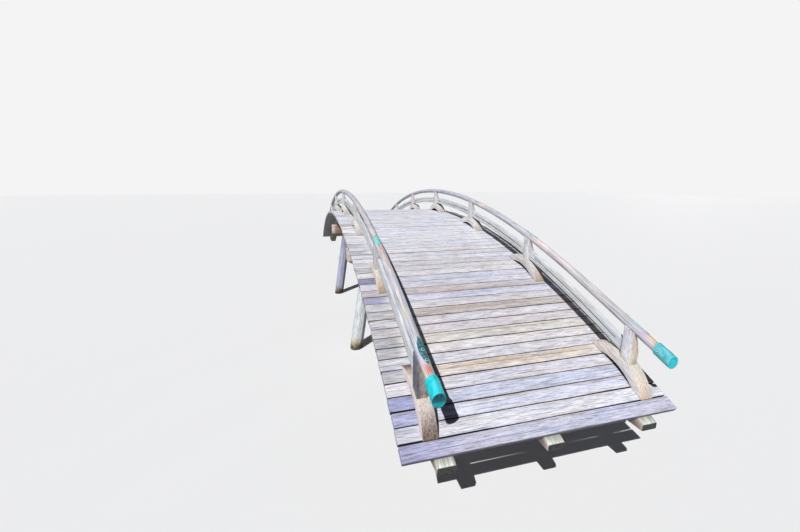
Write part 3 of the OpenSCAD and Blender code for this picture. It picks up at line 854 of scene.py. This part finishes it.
def addPlate(heap, side, i):
    dice = np.random.default_rng(950 + 3 * i + side)
    turn, code, rim, crown = plates[side, i]
    half, wide, thick = plates["length"] / 2, plates["width"] / 2, plates["thick"]
    bow = (half ** 2 + wide ** 2) / (2 * wide)
    inner = rail["radius"] + rail["fit"] + 0.0003
    s = np.linspace(-half + 0.002, half - 0.002, plates["grid"][0])[:, None]
    t = np.linspace(-1, 1, plates["grid"][1])
    reach = np.maximum(np.sqrt(bow ** 2 - s ** 2) - (bow - wide), 0.0012)
    chord = reach * t
    phi = radians(90 - turn) - np.arcsin(np.clip(chord / (inner + thick), -0.99, 0.99))
    curl = 0.0008 * np.abs(t) ** 6 * (0.5 + wobble(s, 60 * i + side, 0.08, 0.5))
    ripple = 0.0003 * np.sin(s * 90 + dice.uniform(0, 6)) * (1 - t ** 2)
    outer = inner + thick * (1 - 0.35 * np.abs(t) ** 8) + curl + ripple

    def bothFaces(rows):
        # the outer face and then, backwards, the inner one
        return np.concatenate([rows, rows[:, ::-1]], 1)

    radius, phi = np.concatenate([outer, inner + 0 * outer], 1), bothFaces(phi)
    rings = onRail(heads[i] + s, side, radius * np.cos(phi), radius * np.sin(phi))
    grain = grainAt(dice, s, bothFaces(chord), 0, spread=10)
    mark = triple(0.4 * np.concatenate([np.abs(t) ** 6, np.ones(len(t))]) + 0 * s, 0, 0)
    cloud = 0.5 + 0.5 * np.sin(s * 130 + 1.9 * t) * np.cos(s * 71 - 2.7 * t)
    tint = mixed(tone(code), tone(plates["cloud"].get((side, i), code)), unit(1.6 * bothFaces(cloud) - 0.4))
    addLoft(heap, rings, grain, tint, mark, endMark=(0, 0, 0))
    for step in (-1, 0, 1):
        addDome(heap, side, heads[i] + step * plates["nailStep"], radians(90 - turn), inner + thick - 0.0003,
                *plates["nail"], plates["worn"].get((side, i, step), rim), crown)


for side, word in sides:
    addPiece(word + "_plates", copper, addPlate, [(side, i) for i in (0, 1, 5, 6)])
print("copper made")

# Middle rails: flat curved boards with a long slot, tenoned between the posts

middle = {
    "low": 0.136, "height": 0.089, "thick": 0.030, "gap": 0.006, "slot": 0.011, "margin": 0.076,
    "bevel": 0.0018, "stations": 62,
    "band": 0.024,  # of the mesh along both edges
    "lowTint": "#cccfcc",  # the lower band and the left side are greener than the top edge
    "topTint": "#d3d4d9",
    "tenon": (0.014, 0.045, "#b8b0b0"),  # thickness, height, colour
    "into": 0.004,  # how far a tenon shows inside the wood at either end
}


def addMiddleRail(heap, side, i):
    dice = np.random.default_rng(1500 + 10 * i + side)
    start = postY[i] + posts["thick"] / 2 + middle["gap"]
    end = postY[i + 1] - posts["thick"] / 2 - middle["gap"]
    low, high, half = middle["low"], middle["low"] + middle["height"], middle["thick"] / 2
    mid = (low + high) / 2
    band, slot, into = middle["band"], middle["slot"], middle["into"]
    hs = [low, low + band, mid - slot / 2, mid + slot / 2, high - band, high]
    slotStart, slotEnd = start + middle["margin"], end - middle["margin"]
    ys = np.unique(np.round([*np.linspace(start, end, middle["stations"]), slotStart, slotEnd], 6))
    ys = ys[np.concatenate([[True], np.diff(ys) > 0.004])]
    for place in (slotStart, slotEnd):
        ys[np.argmin(np.abs(ys - place))] = place
    ys[-1] = end
    shape = bmesh.new()
    grid = {}
    for a, y in enumerate(ys):
        for b, h in enumerate(hs):
            z = centreZ + sqrt((archRadius + h) ** 2 - y ** 2)
            for c, x in enumerate((-half, half)):
                grid[a, b, c] = shape.verts.new((side * rail["offset"] + x, y, z))

    def cell(a, b):
        # whether there is wood between these stations and heights
        if not (0 <= a < len(ys) - 1 and 0 <= b < len(hs) - 1):
            return False
        return not (b == 2 and ys[a] >= slotStart - 1e-6 and ys[a + 1] <= slotEnd + 1e-6)

    for a in range(len(ys) - 1):
        for b in range(len(hs) - 1):
            if not cell(a, b):
                continue
            for c in (0, 1):
                corners = [grid[a, b, c], grid[a + 1, b, c], grid[a + 1, b + 1, c], grid[a, b + 1, c]]
                shape.faces.new(corners if c else corners[::-1])
            for da, db, p, q in ((-1, 0, (a, b), (a, b + 1)), (1, 0, (a + 1, b), (a + 1, b + 1)),
                                 (0, -1, (a, b), (a + 1, b)), (0, 1, (a, b + 1), (a + 1, b + 1))):
                if not cell(a + da, b + db):
                    shape.faces.new([grid[p + (0,)], grid[q + (0,)], grid[q + (1,)], grid[p + (1,)]])
    bmesh.ops.delete(shape, geom=[v for v in shape.verts if not v.link_faces], context="VERTS")
    bmesh.ops.recalc_face_normals(shape, faces=shape.faces)
    hard = [e for e in shape.edges if len(e.link_faces) == 2 and e.calc_face_angle() > 0.9]
    bmesh.ops.bevel(shape, geom=hard, offset=middle["bevel"], segments=2, profile=0.6, affect="EDGES",
                    clamp_overlap=True)
    shape.verts.index_update()
    points = np.array([v.co[:] for v in shape.verts])
    faces = [[v.index for v in f.verts] for f in shape.faces]
    shape.free()
    x, y, z = points.T
    h = np.hypot(y, z - centreZ) - archRadius
    grain = grainAt(dice, np.arctan2(y, z - centreZ) * archRadius, h, x)
    nearEnd = np.minimum(y - start, end - y)
    inSlot = (np.abs(h - mid) < slot * 0.75) & (nearEnd > middle["margin"] - 0.004)
    out = x - side * rail["offset"]
    # painted shadow in the slot: all of it is dark but the lower wall's left half, which the light reaches
    dark = inSlot & (np.abs(out) < half - middle["bevel"] * 0.4) & ((h > mid) | (out > 0))
    tint = mixed(tone(middle["lowTint"]), tone(middle["topTint"]), unit((h - low) / middle["height"]))
    mark = triple(dark, 0, 0.8 * (nearEnd < 0.001))
    first = addPoints(heap, points, grain=grain, tint=tint * dice.uniform(0.97, 1.03), mark=mark)
    heap["faces"] += [[first + v for v in f] for f in faces]
    # the tenons across the open joints
    thick, high, code = middle["tenon"]
    for y0, y1 in ((start - middle["gap"] - into, start + into), (end - into, end + middle["gap"] + into)):
        y = np.array([[y0], [y1]])
        z = archRadius + mid
        x, z = sectionRing(-thick / 2, thick / 2, z - high / 2, z + high / 2, 0.001)
        rings = triple(side * rail["offset"] + x, y, centreZ + np.sqrt(z ** 2 - y ** 2))
        addLoft(heap, rings, rings, tone(code), (0.2, 0.1, 0.0))


for side, word in sides:
    rows = [(side, i) for i in range(posts["count"] - 1)]
    addPiece(word + "_middle_rails", railWood, addMiddleRail, rows)
print("middle rails made")

# Girders, cross beams and the splayed posts of the bents

girder = {
    "offset": 0.740, "width": 0.120, "depth": 0.240, "nose": 0.025, "seatDrop": 0.105, "arris": 0.007,
    "tint": "#a59c94",
    "noseTints": ("#8d8680", "#c9b8b0", "#dfe6da", "#dcc3c2"),  # underside, right, top and left
    "endTint": "#a3a5a0",
}
bent = {
    "offset": 1.320, "overhang": 0.296, "width": 0.160, "height": 0.165, "arris": 0.009,
    "pile": 0.164, "foot": 0.855,
    "lean": 9.1,  # degrees
    "beamTints": ("#a8988e", "#bf9a86", "#d8c6c0", "#bf9a86"),  # underside, far, top and near
    "tipTint": "#e6dad8",
    "rot": 0.13,  # height of the ragged feet
}
girderTop = archRadius - deck["thick"] - 0.0002
girderLow = archRadius - deck["thick"] - girder["depth"]
beamTop = centreZ + sqrt(girderLow ** 2 - (bent["offset"] - bent["width"] / 2) ** 2)
beamLow = beamTop - bent["height"]
seatZ = arch["endHeight"] - girder["seatDrop"]


def addGirder(heap, x0, seed):
    dice = np.random.default_rng(seed)
    end = arch["span"] / 2 + girder["nose"]
    y = [-end, -end + 0.003, *np.linspace(-end + 0.02, end - 0.02, 200), end - 0.003, end]
    for edge in (bent["offset"] - bent["width"] / 2, bent["offset"] + bent["width"] / 2):
        y += [edge - 0.0004, edge + 0.0004, -edge - 0.0004, -edge + 0.0004]
    y = np.sort(y)
    top = centreZ + np.sqrt(girderTop ** 2 - y ** 2)
    bottom = np.maximum(centreZ + np.sqrt(np.maximum(girderLow ** 2 - y ** 2, 0)), seatZ)
    seated = np.abs(np.abs(y) - bent["offset"]) < bent["width"] / 2
    bottom = np.where(seated, np.maximum(bottom, beamTop), bottom)
    half = girder["width"] / 2
    low = -half + wobble(y, seed + 1, 1.4, 0.001)
    high = half + wobble(y, seed + 2, 1.4, 0.001)
    x, z = sectionRing(low, high, bottom, top, np.minimum(girder["arris"], (top - bottom) * 0.2))
    z[[0, -1]] += 0.002 * np.sign((bottom + top)[[0, -1], None] / 2 - z[[0, -1]])
    y = y[:, None]
    grain = grainAt(dice, np.arctan2(y, z - centreZ) * archRadius, x, np.hypot(y, z - centreZ) - archRadius)
    out = unit((np.abs(y) - arch["span"] / 2 + 0.01) / 0.02)
    tint = mixed(tone(girder["tint"]), faceTints(len(y), *girder["noseTints"]), out)
    tint[[0, -1]] = tone(girder["endTint"])
    mark = triple(0.25 * (1 - out) + 0 * x, 0.15 * (1 - out), 0)
    addLoft(heap, triple(x0 + x, y, z), grain, tint, mark, endMark=(0.8, 0.0, 0.2))


def addBeam(heap, y0, seed):
    dice = np.random.default_rng(seed)
    half = bent["foot"] - beamLow * tan(radians(bent["lean"])) + bent["overhang"]
    x = np.array([-half, -half + 0.004, *np.linspace(-half + 0.03, half - 0.03, 46), half - 0.004, half])
    width = bent["width"] / 2 + wobble(x, seed + 1, 0.9, 0.0012)
    y, z = sectionRing(-width, width, beamLow, beamTop, bent["arris"])
    centre = (beamLow + beamTop) / 2
    y[[0, -1]] *= 0.965
    z[[0, -1]] = centre + (z[[0, -1]] - centre) * 0.965
    x = x[:, None]
    grain = grainAt(dice, x, y, z)
    mark = triple(0.25 * unit(1 - (np.abs(x) - 0.8) / 0.1) + 0 * y, 0.25, 0)
    tip = unit((np.abs(x) - half + 0.06) / 0.02)
    tint = mixed(faceTints(len(x), *bent["beamTints"]), tone(bent["tipTint"]), tip)
    addLoft(heap, triple(x, y0 + y, z), grain, tint, mark, endMark=(0.0, 0.2, 0.6))


def addPile(heap, side, y0, seed, code):
    dice = np.random.default_rng(seed)
    z = np.concatenate([[0.0, 0.004], np.linspace(0.014, 0.2, 18), np.linspace(0.225, beamLow, 44)])[:, None]
    lean = radians(bent["lean"])
    # each flat has its two ends and middle, and the corner is eased
    turns = np.tile((-0.9, -0.45, 0.0, 0.45, 0.9), 8) * pi / 8
    phis = np.repeat(np.arange(8), 5) * pi / 4 + turns
    rough = sum(np.sin(z * w + phis * k + dice.uniform(0, 6)) / q
                for w, k, q in ((31, 2, 1), (77, 3, 1.5), (140, 5, 2.2), (260, 9, 3)))
    rot = unit(1 - z / bent["rot"])
    radius = bent["pile"] / 2 / np.cos(turns) * (1 + 0.004 * rough * (1 - rot))
    radius = radius - rot ** 1.5 * (0.004 + 0.0028 * rough)
    x = radius * np.cos(phis) / cos(lean)
    y = radius * np.sin(phis)
    rings = triple(side * (bent["foot"] - z * tan(lean)) + x, y0 + y, z)
    grain = grainAt(dice, z, x, y)
    ragged = z + 0.014 * rough
    wet = unit(1 - (ragged - 0.06) / 0.05)
    shade = 0.35 * unit((z - 0.85) / 0.4)
    mark = triple(unit(wet * 0.8 + shade), 0.9 * unit(1 - (ragged - 0.1) / 0.08), 0)
    addLoft(heap, rings, grain, tone(code), mark, endMark=(0.8, 0.5, 0.4))


for word, x0, seed in (("left", -girder["offset"], 61), ("middle", 0.0, 62), ("right", girder["offset"], 63)):
    addPiece(word + "_girder", frameWood, addGirder, [(x0, seed)])
for first, y0, seed, code in (("near", -bent["offset"], 71, "#dbdfe0"), ("far", bent["offset"], 72, "#aeb0c6")):
    addPiece(first + "_cross_beam", frameWood, addBeam, [(y0, seed)])
    for side, word in sides:
        rows = [(side, y0, seed * 10 + side, code)]
        addPiece("%s_%s_pile" % (first, word), frameWood, addPile, rows)
print("girders, beams and piles made")

# Floor, light and camera

stage = {
    "floor": "#ececec",
    "backdrop": "#f4f4f4",
    "bounce": "#8c8c8c",  # the floor as it lights the object from below
    "sky": ("#bccdff", 0.034),  # colour and strength
    # energy, degrees across, and where from
    "key": (4.05, 0.3, (-0.432, -0.524, 0.734)),
    "fill": (0.6, 18, (-0.93, -0.34, 0.02)),
    "rim": (1.0, 8, (0.8, 0.6, 0.02)),
}


def seenRays(tree):
    # the rays that show the floor and the backdrop as they look, rather than as they light the object
    path = addNode(tree, "LightPath").outputs
    seen = addNode(tree, "Math", {"operation": "MAXIMUM"}, {0: path["Is Camera Ray"], 1: path["Is Glossy Ray"]})
    return addNode(tree, "Math", {"operation": "MAXIMUM"}, {0: seen, 1: path["Is Transmission Ray"]})


floorMesh = bpy.data.meshes.new("floor")
floorMesh.from_pydata([(-60, -60, 0), (60, -60, 0), (60, 60, 0), (-60, 60, 0)], [], [(0, 1, 2, 3)])
floor = addObject("floor", floorMesh)
floorPaint = bpy.data.materials.new("paleFloor")
tree = freshTree(floorPaint)
shade = {"data_type": "RGBA", 6: linear(stage["bounce"]), 7: linear(stage["floor"])}
shade = addNode(tree, "Mix", shade, {0: seenRays(tree)})
shader = addNode(tree, "BsdfPrincipled", {"Roughness": 0.9}, {"Base Color": shade})
addNode(tree, "OutputMaterial", links={0: shader})
floorMesh.materials.append(floorPaint)

world = bpy.data.worlds.new("studio")
bpy.context.scene.world = world
tree = freshTree(world)
lit = addNode(tree, "Background", {"Color": linear(stage["sky"][0]), "Strength": stage["sky"][1]})
shown = addNode(tree, "Background", {"Color": linear(stage["backdrop"]), "Strength": 1.0})
both = addNode(tree, "MixShader", links={0: seenRays(tree), 1: lit, 2: shown})
addNode(tree, "OutputWorld", links={0: both})

for word in ("key", "fill", "rim"):
    energy, across, place = stage[word]
    lamp = bpy.data.lights.new(word, "SUN")
    lamp.energy = energy
    lamp.angle = radians(across)
    addObject(word, lamp).rotation_euler = Vector(place).to_track_quat("Z", "Y").to_euler()

view = {
    "place": (-1.4438, -5.9943, 2.3373),
    "lens": 15.967, "sensor": 36,  # mm
    "down": 13.606,  # degrees, as are the turn and the roll
    "turn": -14.77, "roll": -0.11,
    "clip": (0.05, 300),
}
cameraData = bpy.data.cameras.new("camera")
cameraData.lens = view["lens"]
cameraData.sensor_width = view["sensor"]
cameraData.clip_start, cameraData.clip_end = view["clip"]
camera = addObject("camera", cameraData)
camera.location = view["place"]
camera.rotation_euler = Euler([radians(a) for a in (90 - view["down"], view["roll"], view["turn"])], "XYZ")
bpy.context.scene.camera = camera
bpy.context.scene.view_settings.view_transform = "Standard"
print("stage, light and camera made")
